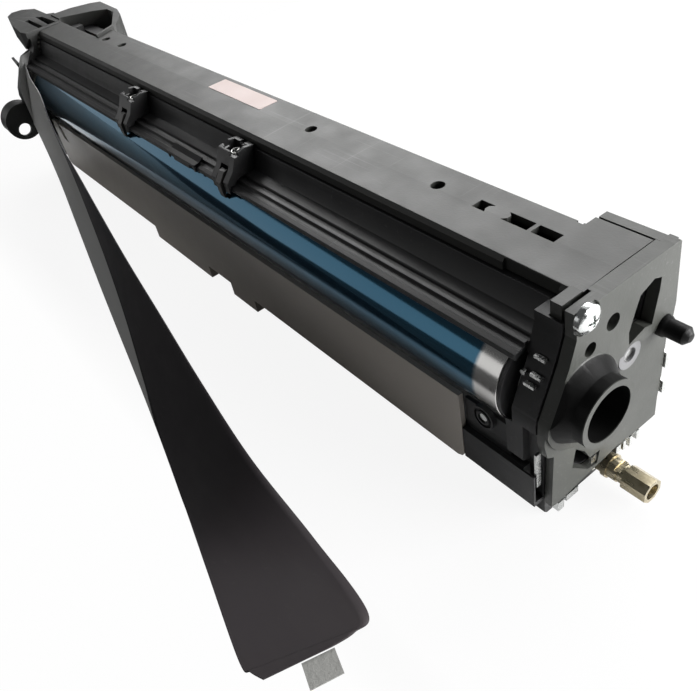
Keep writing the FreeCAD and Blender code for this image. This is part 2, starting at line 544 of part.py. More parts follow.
# Waste screw above the drum, with its gear and bushings
augerShaft = rod("augerShaft", "gearStart-0.3", "augerY", "augerZ", "augerCore", "-14-gearStart")
augerFlight = flight("augerFlight", spanStart + "+4", spanLength + "-11", "augerY", "augerZ", "augerCore",
                     "augerTip", value("augerPitch"))
node(fuse("wasteAuger", [augerShaft, augerFlight]), "waste_auger")
toGap = math.pi + line + math.pi / sizes["augerTeeth"]
node(gear("augerGear", "gearStart", value("gearWidth"), "augerY", "augerZ", sizes["augerTeeth"],
          value("augerCore"), toGap), "auger_gear")
augerBushes = []
for side, x in (("Left", "frameLeft+0.4"), ("Right", spanEnd + "+0.4")):
    augerBushes.append(bushing("augerBush" + side, x, "augerY", "augerZ", "augerBush", "augerCore", 9.8))
node(gather("augerBushings", augerBushes), "auger_bushings")

# Charge roller, its cleaning roller, bearings and springs
rollerStart = spanStart + "+5"
rollerLength = spanLength + "-10"
chargeRubber = cut("chargeRubberCut", rod("chargeSleeve", rollerStart, "chargeY", "chargeZ", "chargeRadius",
                                          rollerLength),
                   [rod("chargeSleeveHole", rollerStart + "-1", "chargeY", "chargeZ", "chargeShaft",
                        rollerLength + "+2")])
node(chargeRubber, "charge_roller")
node(rod("chargeShaftRod", "frameLeft+0.6", "chargeY", "chargeZ", "chargeShaft", "-9.6-frameLeft-0.6"),
     "charge_roller_shaft")
wiperSleeve = cut("wiperSleeveCut", rod("wiperSleeve", rollerStart, "wiperY", "wiperZ", "wiperRadius",
                                        rollerLength),
                  [rod("wiperSleeveHole", rollerStart + "-1", "wiperY", "wiperZ", "wiperShaft",
                       rollerLength + "+2")])
node(wiperSleeve, "charge_cleaning_roller")
node(rod("wiperShaftRod", spanStart + "-4", "wiperY", "wiperZ", "wiperShaft", spanLength + "+8"),
     "cleaning_roller_shaft")
springs = []
for side, start in (("left", "frameLeft"), ("right", spanEnd)):
    shell = block("bearingBlock" + side, start + "+1.5", "chargeY-4", "chargeZ-3.9", 8, 8, 7.8)
    hole = rod("bearingHole" + side, start, "chargeY", "chargeZ", "chargeShaft+runFit", 12)
    node(cut("bearingCut" + side, shell, [hole]), "charge_bearing_" + side)
    seat = V(value(start) + 5.5, value("chargeY") + 4.4, value("chargeZ"))
    springs.append(coil("spring" + side, seat, "y", 2.2, 0.35, 3.8, 4))
node(gather("chargeSprings", springs), "charge_springs")

# Conveying screw in the lower rail, with the coupling that drives it
conveyorStem = rod("conveyorStem", "frameLeft+1", "conveyorY", "conveyorZ", "conveyorCore",
                   "baseEnd-frameLeft")
conveyorFlight = flight("conveyorFlight", "frameLeft+4", "baseEnd-frameLeft-11", "conveyorY", "conveyorZ",
                        "conveyorCore", "conveyorTip", value("augerPitch"))
node(fuse("conveyorAuger", [conveyorStem, conveyorFlight]), "conveyor_auger")
node(bushing("conveyorBush", "baseEnd-5", "conveyorY", "conveyorZ", "conveyorBore", "conveyorCore", 5),
     "conveyor_bushing")
sleeveParts = [rod("sleeveRear", "baseEnd+0.7", "conveyorY", "conveyorZ", "couplingRadius-0.6", 8),
               rod("sleeveFlange", -10.4, "conveyorY", "conveyorZ", "couplingRadius", 1.6),
               rod("sleeveMiddle", -8.6, "conveyorY", "conveyorZ", 3.1, 6),
               prism("sleeveHead", [
                   (f"conveyorY+{4 * math.cos(math.radians(45 * k + 22.5)):.4f}",
                    f"conveyorZ+{4 * math.sin(math.radians(45 * k + 22.5)):.4f}")
                   for k in range(8)], -3.4, 8.2)]
sleeveCuts = [rod("sleeveSocket", 2, "conveyorY", "conveyorZ", 2.6, 4),
              block("sleeveSlot", -6.6, "conveyorY-4", "conveyorZ+2.2", 2, 8, 3),
              rod("sleeveBore", "baseEnd", "conveyorY", "conveyorZ", "conveyorCore", 1.8)]
node(cut("couplingCut", fuse("couplingParts", sleeveParts), sleeveCuts), "coupling_sleeve")

# Cleaning blade on its bracket, the film and the end seals
bladeStart = spanStart + "+0.2"
bladeLength = spanLength + "-0.4"
node(prism("cleaningBlade", [(9.9, 11.8), (8.41, 13.13), (16.41, 22.08), (17.87, 20.72)],
           bladeStart, bladeLength), "cleaning_blade")
bracket = prism("bracket", [
    (13.3, 15.5), (14.4, 14.5), (18.56, 19.25), (25.2, 19.25), (25.2, 20.75), (18, 20.75)],
    bladeStart, bladeLength)
bladeScrews = []
bracketHoles = []
for side, x in (("Left", spanStart + "+4"), ("Right", spanEnd + "-4")):
    bracketHoles.append(rod("bracketHole" + side, x, 23, 18, 1.5, 4, "z"))
    frameHole = rod("bladeScrewHead" + side, x, 23, 20.75, 2.2, 1.6, "z")
    bladeScrews.append(fuse("bladeScrew" + side, [
        frameHole, rod("bladeScrewStem" + side, x, 23, 19.25, 1.5, 1.6, "z")]))
node(cut("bracketCut", bracket, bracketHoles), "blade_bracket")
node(gather("bladeScrewsAll", bladeScrews), "blade_screws")
node(prism("recoveryFilm", [(1.75, 16.55), (3.95, 14.85), (4.15, 15.1), (1.95, 16.75)],
           bladeStart, bladeLength), "recovery_film")
felts = []
for side, start in (("Left", spanStart), ("Right", spanEnd + "-6")):
    felts.append(prism("felt" + side, [(4.7, 15.2), (8, 13.5), (8.1, 16.1), (5, 16.6)], start, 6))
node(gather("endFelts", felts), "end_felts")

# Finger holders on the rail, their claws and springs
claws = []
for side, start in (("left", -257.5), ("right", -170)):
    middle = start + 6
    holder = prism("holder" + side, [
        (0, 17.75), (2.05, 25.2), (2.7, 25.2), (2.7, 26.4), (-1.5, 27), (-6, 26), (-8.6, 20.4),
        (-12, 16.8), (-12, 12.7), (-11.2, 13.2), (-11.2, 15.2), (-9, 15.5), (-7.2, 16.9), (-4, 17.3)],
        start, 12)
    holderCuts = [block("clawSlot" + side, middle - 2.6, -13, 12, 5.2, 6.4, 9.4),
                  rod("clawPivot" + side, middle - 3.6, -8.8, 18.3, 0.9, 7.2),
                  block("holderRoom" + side, start + 1.4, -5.2, 20, 9.2, 5.8, 8),
                  block("holderNotchA" + side, start - 1, -4, 24.6, 3, 2.4, 4),
                  block("holderNotchB" + side, start + 8, -8, 24.9, 5, 3.4, 4),
                  block("holderNotchC" + side, start + 5, 0.4, 25.6, 3, 4, 4)]
    node(cut("holderCut" + side, holder, holderCuts), "picker_block_" + side)
    arm = prism("clawArm" + side, [
        (-8, 17), (-9.6, 16.9), (-11.35, 15.8), (-11.35, 12.2), (-11.9, 9.8), (-12.35, 9.9),
        (-12.8, 12.5), (-12.9, 16.2), (-10.2, 19.7), (-8.6, 19.9), (-7.6, 19.1), (-7.4, 17.8)],
        middle - 1.7, 3.4)
    node(fuse("claw" + side, [arm, rod("clawPin" + side, middle - 3.4, -8.8, 18.3, 0.8, 6.8)]),
         "picker_claw_" + side)
    claws.append(coil("clawCoil" + side, spot(middle, -2.4, 20.4), "z", 1.6, 0.3, 4.6, 4))
node(gather("clawSprings", claws), "claw_springs")
railClip = prism("railClip", [
    (-6.9, 16.75), (-7, 17.3), (-9.3, 16.1), (-11.6, 15.7), (-11.6, 12.9), (-11.1, 12.9), (-11.1, 15),
    (-9.1, 15.4), (-7.3, 16.5)], -208, 23)
clipCuts = [block("clipNotchA", -206.6, -12, 12, 3.4, 4, 2.6),
            block("clipNotchB", -190, -12, 12, 3.6, 4, 2.6)]
node(cut("railClipCut", railClip, clipCuts), "rail_clip")
node(rod("bossPin", -31, -13.3, -13, 1.3, 2.2, "y"), "boss_pin")

# Peeled protective sheet: its upper and lower long edges, with the share and depth of the fold between them
upper = [(-383.5, -11, 16.3), (-380.4, -11.2, 16.4), (-350.6, -18.5, 18.3), (-320.6, -24.1, 18.2),
         (-290.7, -31.6, 17.4), (-260.6, -38.3, 15.6), (-230.1, -43.6, 12.5), (-199.8, -48.9, 8.2),
         (-169.4, -53.9, 2.4), (-139.2, -58.1, -5.1), (-109.1, -62.1, -14.4), (-79.6, -64.7, -26.6),
         (-54.5, -62.8, -44.8), (-26.7, -65.6, -46.5), (-24, -72.1, -46.3), (-24.9, -79.4, -46)]
lower = [(-383.5, -19.7, -16.5), (-382.7, -19.8, -16.4), (-353.4, -25.6, -18.1), (-324.3, -31.7, -18.4),
         (-295.3, -38.1, -19.3), (-266.5, -44.9, -20.9), (-237.9, -51.7, -23.3), (-209.5, -58.5, -26.7),
         (-181.4, -65.1, -31.4), (-153.7, -71.6, -37), (-126.5, -78.3, -43), (-99.7, -85.2, -46.5),
         (-71.7, -92.4, -46.5), (-39.7, -100.5, -46.5), (-34.6, -99.9, -46.3), (-30.2, -98.4, -46)]
folds = [(0.1, 0), (0.1, 0), (0.1, 0), (0.1, 0), (0.1, 0.3), (0.16, 1), (0.42, 2), (0.62, 2.4), (0.78, 2),
         (0.9, 1), (0.93, 0.5), (0.93, 0.2)] + [(0.93, 0)] * 4
rings = []
for i, (share, depth) in enumerate(folds):
    top, bottom = spot(*upper[i]), spot(*lower[i])
    far, near = max(i - 1, 0), min(i + 1, len(upper) - 1)
    run = spot(*upper[near]) + spot(*lower[near]) - spot(*upper[far]) - spot(*lower[far])
    face = run.cross(top - bottom).normalize()
    half = face * (value("sheetThick") / 2)
    fold = top + (bottom - top) * share - face * depth
    rings.append([bottom - half, fold - half, top - half, top + half, fold + half, bottom + half])
sheetFlap = prism("sheetFlap", [
    (-5.1, 21.3), (-9.7, 17.9), (-11.3, 15.6), (-11.3, 12.5), (-13.5, 6), (-17.5, -16), (-19.6, -16.7),
    (-19.5, -13.7), (-19.3, -1.6), (-18.6, 5.2), (-16.1, 11.7), (-13.8, 16.6), (-11.5, 20.2)], -383.9, 0.8)
node(fuse("protectiveSheet", [solidOf("sheetStrip", stripFacets(rings)), sheetFlap]), "protective_sheet")
node(prism("sheetTab", [(-27.1, -88.2), (-24.5, -78.9), (-17.2, -81.2), (-19.6, -90.7)], "baseLow", 0.4, "z"),
     "sheet_tab")

doc.recompute()
os.makedirs("parts", exist_ok=True)
for thing in doc.Objects:
    if "Invalid" in thing.State or "Error" in thing.State:
        print("state", thing.Label, thing.State)
for part in nodes:
    shape = part.Shape
    if shape.isNull() or not shape.isValid():
        print("shape not valid", part.Label)
    shape.exportStep(f"parts/{part.Label}.step")
    print(part.Label, len(shape.Solids), round(shape.Volume, 1))
print(len(nodes), "nodes")
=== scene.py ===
import bpy
import bmesh
import json
import math
from mathutils import Matrix, Vector


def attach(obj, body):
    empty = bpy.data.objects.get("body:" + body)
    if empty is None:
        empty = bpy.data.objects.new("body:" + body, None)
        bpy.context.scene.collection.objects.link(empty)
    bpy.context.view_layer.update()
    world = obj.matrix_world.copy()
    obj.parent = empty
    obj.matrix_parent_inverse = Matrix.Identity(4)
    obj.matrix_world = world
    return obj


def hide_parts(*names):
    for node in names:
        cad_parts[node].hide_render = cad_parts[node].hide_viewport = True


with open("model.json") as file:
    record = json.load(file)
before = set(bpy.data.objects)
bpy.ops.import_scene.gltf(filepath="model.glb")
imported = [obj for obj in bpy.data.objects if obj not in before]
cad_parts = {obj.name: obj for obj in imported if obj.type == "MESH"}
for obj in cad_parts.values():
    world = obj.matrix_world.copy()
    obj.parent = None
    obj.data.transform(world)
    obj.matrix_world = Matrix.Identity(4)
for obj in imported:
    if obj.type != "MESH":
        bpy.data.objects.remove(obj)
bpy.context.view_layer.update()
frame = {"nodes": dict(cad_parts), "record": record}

nodes = frame["nodes"]
scene = bpy.context.scene
mm = 0.001
print("frame loaded:", len(nodes), "nodes")

cameraView = {
    "place": (0.080114, -0.114522, 0.147150),
    "right": (0.609782, 0.774838, -0.166708),
    "down": (0.435986, -0.503586, -0.745867),
    "ahead": (-0.661878, 0.382134, -0.644896),
    "focal": 775.0,       # in pixels of the frame
    "frameWidth": 698.0,
    "sensorWidth": 36.0,  # in mm
    "clip": (0.005, 10.0),
}


def makeCamera(view):
    data = bpy.data.cameras.new("photoCamera")
    data.sensor_fit = "HORIZONTAL"
    data.sensor_width = view["sensorWidth"]
    data.lens = view["focal"] / view["frameWidth"] * view["sensorWidth"]
    data.clip_start, data.clip_end = view["clip"]
    camera = bpy.data.objects.new("photoCamera", data)
    scene.collection.objects.link(camera)
    right, up, back = Vector(view["right"]), -Vector(view["down"]), -Vector(view["ahead"])
    turn = Matrix((right, up, back)).transposed().to_4x4()
    camera.matrix_world = Matrix.Translation(view["place"]) @ turn
    scene.camera = camera


def addMath(tree, kind, first, second, clamp=False):
    node = tree.nodes.new("ShaderNodeMath")
    node.operation = kind
    node.use_clamp = clamp
    for socket, item in zip(node.inputs, (first, second)):
        if isinstance(item, (int, float)):
            socket.default_value = item
        else:
            tree.links.new(item, socket)
    return node.outputs[0]


def addRange(tree, item, low, high, toLow=0.0, toHigh=1.0):
    node = tree.nodes.new("ShaderNodeMapRange")
    tree.links.new(item, node.inputs[0])
    for k, number in enumerate((low, high, toLow, toHigh)):
        node.inputs[k + 1].default_value = number
    return node.outputs[0]


lamps = {
    # name: place, aims at, width, height, watts
    "rearWindow": ((-0.72, 0.89, 0.78), (-0.2, 0.0, 0.0), 1.9, 0.9, 24.0),
    "rightCard": ((0.62, 0.46, 0.16), (-0.02, 0.01, -0.01), 0.7, 0.5, 20.0),
    "topSoft": ((-0.15, 0.35, 1.1), (-0.2, 0.0, 0.0), 1.2, 0.5, 0.8),
    "bandCard": ((-0.92, -0.76, 0.24), (-0.2, 0.0, 0.0), 1.5, 0.55, 1.6),
}


def makeLamps(table):
    for name, (place, aim, width, height, watts) in table.items():
        data = bpy.data.lights.new(name, "AREA")
        data.shape = "RECTANGLE"
        data.size, data.size_y = width, height
        data.energy = watts
        lamp = bpy.data.objects.new(name, data)
        scene.collection.objects.link(lamp)
        lamp.location = place
        lamp.rotation_euler = (Vector(aim) - Vector(place)).to_track_quat("-Z", "Y").to_euler()


worldLight = {"level": 0.07, "tint": (0.97, 0.985, 1.0)}


def makeWorld(light):
    world = bpy.data.worlds.new("paleRoom")
    scene.world = world
    world.use_nodes = True
    tree = world.node_tree
    tree.nodes.clear()
    out = tree.nodes.new("ShaderNodeOutputWorld")
    mix = tree.nodes.new("ShaderNodeMixShader")
    rays = tree.nodes.new("ShaderNodeLightPath")
    room = tree.nodes.new("ShaderNodeBackground")
    room.inputs["Color"].default_value = (*light["tint"], 1)
    room.inputs["Strength"].default_value = light["level"]
    seen = tree.nodes.new("ShaderNodeBackground")
    seen.inputs["Color"].default_value = (1, 1, 1, 1)
    seen.inputs["Strength"].default_value = 1.0
    tree.links.new(rays.outputs["Is Camera Ray"], mix.inputs[0])
    tree.links.new(room.outputs[0], mix.inputs[1])
    tree.links.new(seen.outputs[0], mix.inputs[2])
    tree.links.new(mix.outputs[0], out.inputs[0])


floorSize = {
    # all in metres
    "low": -0.0473, "left": -0.50, "right": 0.9, "front": -0.24, "rear": 1.2,
    "fade": 0.06, "rim": 0.005,      # each edge turns white over the fade and is white on the rim
    "dark": -0.062, "change": 0.02,  # the floor in front of this Y is painted dark as a painted shade for the drum and the front faces to mirror, and how wide the change is
    # in front of the change and behind it
    "tone": (0.06, 0.93),  # base colour of the floor: painted shade in front of the change, pale behind it
    "white": (0.99, 0.9),  # share of plain white that the camera sees
    "rough": 0.75, "specular": 0.2,
}


def makeFloor(size):
    # a pale table top; towards its edges it turns as white as the background
    mesh = bpy.data.meshes.new("paleFloor")
    sides = (("left", "front"), ("right", "front"), ("right", "rear"), ("left", "rear"))
    mesh.from_pydata([(size[x], size[y], size["low"]) for x, y in sides], [], [(0, 1, 2, 3)])
    floor = bpy.data.objects.new("paleFloor", mesh)
    scene.collection.objects.link(floor)
    material = bpy.data.materials.new("paleFloor")
    material.use_nodes = True
    tree = material.node_tree
    shader = tree.nodes["Principled BSDF"]
    shader.inputs["Roughness"].default_value = size["rough"]
    shader.inputs["Specular IOR Level"].default_value = size["specular"]
    glow = tree.nodes.new("ShaderNodeEmission")
    glow.inputs["Strength"].default_value = 1.0
    rays = tree.nodes.new("ShaderNodeLightPath")
    parts = tree.nodes.new("ShaderNodeSeparateXYZ")
    tree.links.new(tree.nodes.new("ShaderNodeTexCoord").outputs["Object"], parts.inputs[0])
    # painted shade: the floor in front is painted dark, so that the drum and the front faces mirror a dark
    # room there; the camera still sees it white
    change = (size["dark"] - size["change"], size["dark"])
    shade = addRange(tree, parts.outputs["Y"], *change, *size["tone"])
    tree.links.new(shade, shader.inputs["Base Color"])
    white = addRange(tree, parts.outputs["Y"], *change, *size["white"])
    for axis, side, way in (("X", "left", 1), ("X", "right", -1), ("Y", "front", 1), ("Y", "rear", -1)):
        start = size[side] + way * size["fade"]
        edge = addRange(tree, parts.outputs[axis], start, size[side] + way * size["rim"])
        white = addMath(tree, "MAXIMUM", white, edge)
    mix = tree.nodes.new("ShaderNodeMixShader")
    tree.links.new(addMath(tree, "MULTIPLY", rays.outputs["Is Camera Ray"], white), mix.inputs[0])
    tree.links.new(shader.outputs[0], mix.inputs[1])
    tree.links.new(glow.outputs[0], mix.inputs[2])
    tree.links.new(mix.outputs[0], tree.nodes["Material Output"].inputs[0])
    mesh.materials.append(material)


makeCamera(cameraView)
makeLamps(lamps)
makeWorld(worldLight)
makeFloor(floorSize)
scene.view_settings.view_transform = "Standard"
print("camera, lamps and floor ready")


def newGroup(name, inputs, outputs):
    group = bpy.data.node_groups.new(name, "ShaderNodeTree")
    for word, start in inputs:
        socket = group.interface.new_socket(name=word, in_out="INPUT", socket_type="NodeSocketFloat")
        socket.default_value = start
    for word in outputs:
        group.interface.new_socket(name=word, in_out="OUTPUT", socket_type="NodeSocketFloat")
    inside = group.nodes.new("NodeGroupInput")
    outside = group.nodes.new("NodeGroupOutput")
    return group, inside, outside


def addNoise(tree, coords, scale, detail, rough, stretch=None):
    noise = tree.nodes.new("ShaderNodeTexNoise")
    noise.inputs["Detail"].default_value = detail
    noise.inputs["Roughness"].default_value = rough
    if isinstance(scale, (int, float)):
        noise.inputs["Scale"].default_value = scale
    else:
        tree.links.new(scale, noise.inputs["Scale"])
    if stretch:
        mapping = tree.nodes.new("ShaderNodeMapping")
        mapping.inputs["Scale"].default_value = stretch
        tree.links.new(coords, mapping.inputs["Vector"])
        coords = mapping.outputs[0]
    tree.links.new(coords, noise.inputs["Vector"])
    return noise.outputs[0]


def addMix(tree, factor, first, second):
    node = tree.nodes.new("ShaderNodeMix")
    node.data_type = "RGBA"
    # the factor and the two colours of a mix node
    sockets = (node.inputs[0], node.inputs[6], node.inputs[7])
    for socket, item in zip(sockets, (factor, first, second)):
        if isinstance(item, (int, float)):
            socket.default_value = item
        elif isinstance(item, tuple):
            socket.default_value = (*item, 1)
        else:
            tree.links.new(item, socket)
    return node.outputs[2]


# a noise is its scale on Object coordinates, detail, roughness and stretch; a span is mapped to 0 and 1
grainLook = {
    "grain": (1400.0, 2.0, 0.6), "flow": (22.0, 4.0, 0.55, (0.35, 1.0, 1.0)), "blot": (90.0, 3.0, 0.6),
    "blotShare": 0.25, "toneSpan": (0.3, 0.72), "glossSpan": (0.75, 1.3),
}
dustLook = {
    "amount": 0.3, "smearShare": 0.5,
    "specks": (420.0, 2.0, 0.7), "film": (36.0, 5.0, 0.65), "smear": (30.0, 4.0, 0.6, (0.25, 1.6, 1.6)),
    "speckSpan": (0.62, 0.74), "filmSpan": (0.42, 0.75), "smearSpan": (0.45, 0.8),
}
scratchLook = {
    "amount": 0.4, "where": (25.0, 3.0, 0.6),
    "along": (900.0, 1.0, 0.4, (0.02, 1.0, 1.0)), "across": (800.0, 1.0, 0.4, (1.0, 0.03, 0.6)),
    "alongSpan": (0.66, 0.7), "acrossSpan": (0.68, 0.72), "whereSpan": (0.45, 0.6),
}


def mouldGrainGroup(look):
    # fine moulded grain, soft flow marks and a slow change of tone
    inputs = [("Grain", look["grain"][0]), ("Flow", look["flow"][0])]
    group, inside, outside = newGroup("mouldGrain", inputs, ["Height", "Tone", "Gloss"])
    coords = group.nodes.new("ShaderNodeTexCoord").outputs["Object"]
    grain = addNoise(group, coords, inside.outputs["Grain"], *look["grain"][1:])
    flow = addNoise(group, coords, inside.outputs["Flow"], *look["flow"][1:])
    blot = addNoise(group, coords, *look["blot"])
    height = addMath(group, "ADD", grain, addMath(group, "MULTIPLY", blot, look["blotShare"]))
    gloss = addRange(group, addMath(group, "ADD", blot, flow), *look["glossSpan"])
    group.links.new(height, outside.inputs["Height"])
    group.links.new(addRange(group, flow, *look["toneSpan"]), outside.inputs["Tone"])
    group.links.new(gloss, outside.inputs["Gloss"])
    return group


def fineDustGroup(look):
    # specks and a thin film of dust with handling smears
    inputs = [("Amount", look["amount"]), ("Size", look["specks"][0])]
    group, inside, outside = newGroup("fineDust", inputs, ["Mask"])
    coords = group.nodes.new("ShaderNodeTexCoord").outputs["Object"]
    specks = addNoise(group, coords, inside.outputs["Size"], *look["specks"][1:])
    specks = addRange(group, specks, *look["speckSpan"])
    film = addRange(group, addNoise(group, coords, *look["film"]), *look["filmSpan"])
    smear = addRange(group, addNoise(group, coords, *look["smear"]), *look["smearSpan"])
    specks = addMath(group, "MULTIPLY", specks, film)
    both = addMath(group, "ADD", specks, addMath(group, "MULTIPLY", smear, look["smearShare"]))
    mask = addMath(group, "MULTIPLY", both, inside.outputs["Amount"], True)
    group.links.new(mask, outside.inputs["Mask"])
    return group


def fineScratchGroup(look):
    # thin marks along and across the piece
    group, inside, outside = newGroup("fineScratch", [("Amount", look["amount"])], ["Mask"])
    coords = group.nodes.new("ShaderNodeTexCoord").outputs["Object"]
    along = addRange(group, addNoise(group, coords, *look["along"]), *look["alongSpan"])
    across = addRange(group, addNoise(group, coords, *look["across"]), *look["acrossSpan"])
    where = addRange(group, addNoise(group, coords, *look["where"]), *look["whereSpan"])
    both = addMath(group, "MULTIPLY", addMath(group, "ADD", along, across), where)
    mask = addMath(group, "MULTIPLY", both, inside.outputs["Amount"], True)
    group.links.new(mask, outside.inputs["Mask"])
    return group


groups = {
    "grain": mouldGrainGroup(grainLook),
    "dust": fineDustGroup(dustLook),
    "scratch": fineScratchGroup(scratchLook),
}


def useGroup(tree, word, **values):
    node = tree.nodes.new("ShaderNodeGroup")
    node.node_tree = groups[word]
    for name, number in values.items():
        node.inputs[name].default_value = number
    return node


def newMaterial(name):
    material = bpy.data.materials.new(name)
    material.use_nodes = True
    return material, material.node_tree, material.node_tree.nodes["Principled BSDF"]


def addBump(tree, shader, height, depth, strength=0.5):
    bump = tree.nodes.new("ShaderNodeBump")
    bump.inputs["Strength"].default_value = strength
    bump.inputs["Distance"].default_value = depth
    tree.links.new(height, bump.inputs["Height"])
    tree.links.new(bump.outputs[0], shader.inputs["Normal"])


def blend(first, second, share):
    return tuple(x + (y - x) * share for x, y in zip(first, second))


black, midGrey, white = (0, 0, 0), (0.5, 0.5, 0.5), (1, 1, 1)

plasticLook = {
    "toBlack": 0.14, "toWhite": 0.012,  # how far the tone wanders
    "scratch": 0.25, "scratchToWhite": 0.1,
    "dustColour": (0.12, 0.115, 0.105), "dustRough": 0.3,
    "roughSpan": (-0.05, 0.08),  # added to the roughness of the finish
}


def plastic(name, colour, rough, grain=1500.0, depth=0.00006, dust=0.25):
    look = plasticLook
    material, tree, shader = newMaterial(name)
    mould = useGroup(tree, "grain", Grain=grain)
    dusty = useGroup(tree, "dust", Amount=dust)
    marks = useGroup(tree, "scratch", Amount=look["scratch"])
    deep, pale = blend(colour, black, look["toBlack"]), blend(colour, white, look["toWhite"])
    tone = addMix(tree, mould.outputs["Tone"], deep, pale)
    tone = addMix(tree, marks.outputs["Mask"], tone, blend(colour, white, look["scratchToWhite"]))
    tone = addMix(tree, dusty.outputs["Mask"], tone, look["dustColour"])
    tree.links.new(tone, shader.inputs["Base Color"])
    low, high = look["roughSpan"]
    gloss = addRange(tree, mould.outputs["Gloss"], 0.0, 1.0, rough + low, rough + high)
    dull = addMath(tree, "MULTIPLY", dusty.outputs["Mask"], look["dustRough"])
    tree.links.new(addMath(tree, "ADD", gloss, dull), shader.inputs["Roughness"])
    addBump(tree, shader, mould.outputs["Height"], depth)
    return material


metalLook = {
    "lines": (1100.0, 2.0, 0.5), "blot": (160.0, 4.0, 0.6), "blotSpan": (0.5, 0.78),
    "roughFrom": (0.3, 1.1), "roughSpan": (-0.08, 0.2), "depth": 0.00003, "strength": 0.4,
}


def metal(name, colour, rough, brushed=(1.0, 1.0, 1.0), tarnish=(0.2, 0.18, 0.15), amount=0.3):
    look = metalLook
    material, tree, shader = newMaterial(name)
    coords = tree.nodes.new("ShaderNodeTexCoord").outputs["Object"]
    lines = addNoise(tree, coords, *look["lines"], brushed)
    blot = addRange(tree, addNoise(tree, coords, *look["blot"]), *look["blotSpan"], 0.0, amount)
    tree.links.new(addMix(tree, blot, colour, tarnish), shader.inputs["Base Color"])
    low, high = look["roughSpan"]
    both = addMath(tree, "ADD", lines, blot)
    gloss = addRange(tree, both, *look["roughFrom"], rough + low, rough + high)
    tree.links.new(gloss, shader.inputs["Roughness"])
    shader.inputs["Metallic"].default_value = 1.0
    addBump(tree, shader, lines, look["depth"], look["strength"])
    return material


rubberLook = {
    "fine": (1800.0, 2.0, 0.6), "slow": (60.0, 3.0, 0.5), "slowSpan": (0.35, 0.7),
    "toGrey": 0.06, "roughSpan": 0.06, "depth": 0.00004,
}


def rubber(name, colour, rough=0.6):
    look = rubberLook
    material, tree, shader = newMaterial(name)
    coords = tree.nodes.new("ShaderNodeTexCoord").outputs["Object"]
    fine = addNoise(tree, coords, *look["fine"])
    slow = addRange(tree, addNoise(tree, coords, *look["slow"]), *look["slowSpan"])
    tone = addMix(tree, slow, colour, blend(colour, midGrey, look["toGrey"]))
    tree.links.new(tone, shader.inputs["Base Color"])
    gloss = addRange(tree, slow, 0.0, 1.0, rough - look["roughSpan"], rough + look["roughSpan"])
    tree.links.new(gloss, shader.inputs["Roughness"])
    addBump(tree, shader, fine, look["depth"])
    return material


finishes = {
    "frame_black": plastic("frameBlack", (0.012, 0.012, 0.013), 0.5, 1500.0, dust=0.12),
    "rail_black": plastic("railBlack", (0.015, 0.015, 0.016), 0.36, 1700.0, 0.00004, 0.08),
    "cover_black": plastic("coverBlack", (0.028, 0.029, 0.026), 0.44, 1300.0, 0.00005, 0.14),
    "base_black": plastic("baseBlack", (0.024, 0.024, 0.024), 0.5, 1500.0, dust=0.12),
    "cap_black": plastic("capBlack", (0.026, 0.027, 0.025), 0.44, 1300.0, 0.00005, 0.12),
    "label_pale": plastic("labelPale", (0.66, 0.53, 0.50), 0.45, 2600.0, 0.00001, 0.04),
    "plate_brown": plastic("plateBrown", (0.42, 0.385, 0.345), 0.34, 900.0, 0.00002, 0.08),
    "screw_zinc": metal("screwZinc", (0.80, 0.82, 0.81), 0.2),
    "clip_steel": metal("clipSteel", (0.66, 0.67, 0.66), 0.28),
    "spring_steel": metal("springSteel", (0.62, 0.62, 0.6), 0.3),
    "bushing_white": plastic("bushingWhite", (0.62, 0.62, 0.58), 0.4, 1500.0, 0.00003, 0.1),
    "gear_white": plastic("gearWhite", (0.72, 0.71, 0.66), 0.4, 1500.0, 0.00003, 0.1),
    "blade_rubber": rubber("bladeRubber", (0.35, 0.22, 0.12)),
    "film_clear": plastic("filmClear", (0.35, 0.36, 0.36), 0.25, 2500.0, 0.00001, 0.05),
    "felt_grey": rubber("feltGrey", (0.18, 0.18, 0.18), 0.9),
    "tab_grey": plastic("tabGrey", (0.30, 0.30, 0.285), 0.6, 700.0, 0.0003, 0.3),
    "ring_grey": plastic("ringGrey", (0.15, 0.15, 0.155), 0.4, 1500.0, 0.00003, 0.1),
    "flange_grey": plastic("flangeGrey", (0.03, 0.03, 0.032), 0.4),
    "coupling_brass": metal("couplingBrass", (0.52, 0.46, 0.33), 0.3, (0.2, 1, 1),
                            (0.18, 0.15, 0.08), 0.6),
    "roller_rubber": rubber("rollerRubber", (0.02, 0.02, 0.021), 0.5),
    "wiper_foam": rubber("wiperFoam", (0.1, 0.1, 0.1), 0.85),
    "claw_brown": plastic("clawBrown", (0.03, 0.028, 0.026), 0.35),
}


sheetLook = {
    "dark": ((0.024, 0.023, 0.028), (0.032, 0.027, 0.029)), "darkSpan": (0.25, 0.9),
    "flowColour": (0.05, 0.046, 0.048), "flowShare": 0.2,
    # painted shade: near-black line along the fold
    "creaseShadeColour": (0.004, 0.004, 0.005), "creaseShadeSpan": (-0.05, -0.02), "creaseShadeStart": (0.3, 0.38),
    # painted light grey for the part below the fold and the flap
    "paintedLight": ((0.42, 0.42, 0.41), (0.54, 0.54, 0.53)), "paintedLightSpan": (-0.006, 0.006),
    "dust": 0.12, "dustColour": (0.14, 0.13, 0.12),
    "grain": 900.0, "flow": 14.0, "depth": 0.00003, "rough": (0.6, 0.72), "specular": 0.22,
}


